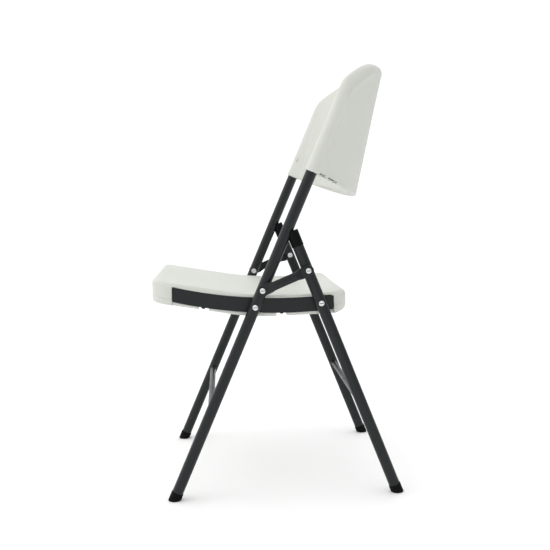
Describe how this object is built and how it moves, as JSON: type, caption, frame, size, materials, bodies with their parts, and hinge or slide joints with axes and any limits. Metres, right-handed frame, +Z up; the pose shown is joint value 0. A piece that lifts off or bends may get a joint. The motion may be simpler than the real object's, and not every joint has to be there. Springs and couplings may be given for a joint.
{
  "type": "folding chair",
  "caption": "Folding chair with a moulded plastic seat and curved back on a tubular steel frame that folds flat by links beside the seat.",
  "frame": {"origin": "on the floor, under the middle of the open chair's box", "axes": "+X to the sitter's left, the front of the chair faces -Y, +Z up"},
  "size_m": [0.469, 0.4915, 0.8589],
  "materials": {
    "moulded_shell": "blow-moulded polyethylene, fine grain, satin",
    "frame_enamel": "charcoal powder coat, satin",
    "foot_rubber": "moulded, matt",
    "cap_plastic": "moulded, satin",
    "rivet_steel": "zinc plated",
    "spacer_nylon": "moulded, matt",
    "screw_steel": "zinc plated"
  },
  "bodies": {
    "front_frame": {"back_rivets": "moulded_shell", "backrest_shell": "moulded_shell", "front_crossbar": "frame_enamel", "front_foot_left": "foot_rubber", "front_foot_right": "foot_rubber", "front_leg_left": "frame_enamel", "front_leg_right": "frame_enamel", "front_link_rivet_left": "rivet_steel", "front_link_rivet_right": "rivet_steel", "front_link_spacer_left": "spacer_nylon", "front_link_spacer_right": "spacer_nylon", "front_seat_rivet_left": "rivet_steel", "front_seat_rivet_right": "rivet_steel"},
    "seat": {"front_seat_spacer_left": "spacer_nylon", "front_seat_spacer_right": "spacer_nylon", "rear_seat_spacer_left": "spacer_nylon", "rear_seat_spacer_right": "spacer_nylon", "seat_cross_rod_front": "frame_enamel", "seat_cross_rod_rear": "frame_enamel", "seat_rail_left": "frame_enamel", "seat_rail_right": "frame_enamel", "seat_rod_screws": "screw_steel", "seat_shell": "moulded_shell"},
    "rear_frame": {"rear_crossbar": "frame_enamel", "rear_foot_left": "foot_rubber", "rear_foot_right": "foot_rubber", "rear_leg_cap_left": "cap_plastic", "rear_leg_cap_right": "cap_plastic", "rear_leg_left": "frame_enamel", "rear_leg_right": "frame_enamel", "rear_link_rivet_tail_left": "rivet_steel", "rear_link_rivet_tail_right": "rivet_steel", "rear_link_spacer_left": "spacer_nylon", "rear_link_spacer_right": "spacer_nylon", "rear_seat_rivet_left": "rivet_steel", "rear_seat_rivet_right": "rivet_steel"},
    "link_left": {"folding_link_left": "frame_enamel", "link_rear_rivet_left": "rivet_steel"},
    "link_right": {"folding_link_right": "frame_enamel", "link_rear_rivet_right": "rivet_steel"}
  },
  "joints": [
    {"name": "seat_fold", "type": "hinge", "parent": "front_frame", "child": "seat", "pos_m": [0, -0.04438, 0.37979], "axis": [-1, 0, 0], "range_deg": [0, 105]},
    {"name": "rear_fold", "type": "hinge", "parent": "seat", "child": "rear_frame", "pos_m": [0, 0.08416, 0.38493], "axis": [-1, 0, 0], "range_deg": [-60, 0]},
    {"name": "link_left_fold", "type": "hinge", "parent": "front_frame", "child": "link_left", "pos_m": [0, -0.02996, 0.41271], "axis": [-1, 0, 0], "range_deg": [0, 121.3]},
    {"name": "link_right_fold", "type": "hinge", "parent": "front_frame", "child": "link_right", "pos_m": [0, -0.02996, 0.41271], "axis": [-1, 0, 0], "range_deg": [0, 121.3]}
  ],
  "couplings": [
    {"joint": "rear_fold", "follows": "seat_fold", "ratio": -0.5711},
    {"joint": "link_left_fold", "follows": "seat_fold", "ratio": 1.1546},
    {"joint": "link_right_fold", "follows": "seat_fold", "ratio": 1.1546}
  ]
}
